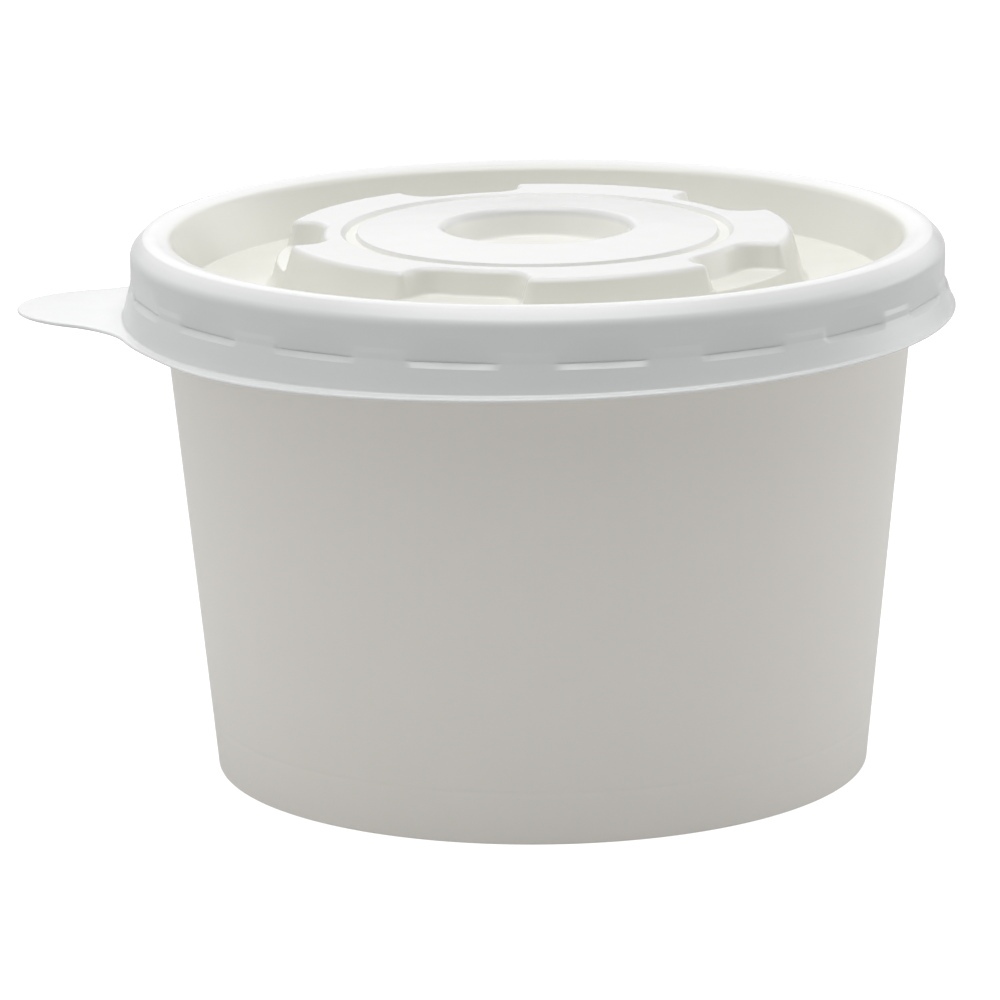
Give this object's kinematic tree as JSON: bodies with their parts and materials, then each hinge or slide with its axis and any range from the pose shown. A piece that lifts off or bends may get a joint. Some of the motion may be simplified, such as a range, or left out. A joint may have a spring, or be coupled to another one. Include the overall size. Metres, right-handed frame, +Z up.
{
  "type": "takeaway soup container",
  "caption": "Round squat takeaway soup cup in plain white paper with a rolled rim, shut by a press-on formed plastic lid with a stacking platform, snap lugs and a pull tab.",
  "frame": {"origin": "bottom centre of the bounding box, on the plane the base ring stands on; the cup's axis stands 7.625 mm from it towards +X, because the pull tab reaches out on one side", "axes": "+Z up along the cup's axis, -X along the lid's pull tab"},
  "size_m": [0.1345, 0.1218, 0.0782],
  "materials": {
    "paper": "smooth white coated board with a low sheen",
    "lid_plastic": "thin white formed plastic sheet, slightly translucent, soft gloss"
  },
  "bodies": {
    "root": {"cup": "paper", "lid": "lid_plastic"}
  },
  "joints": []
}
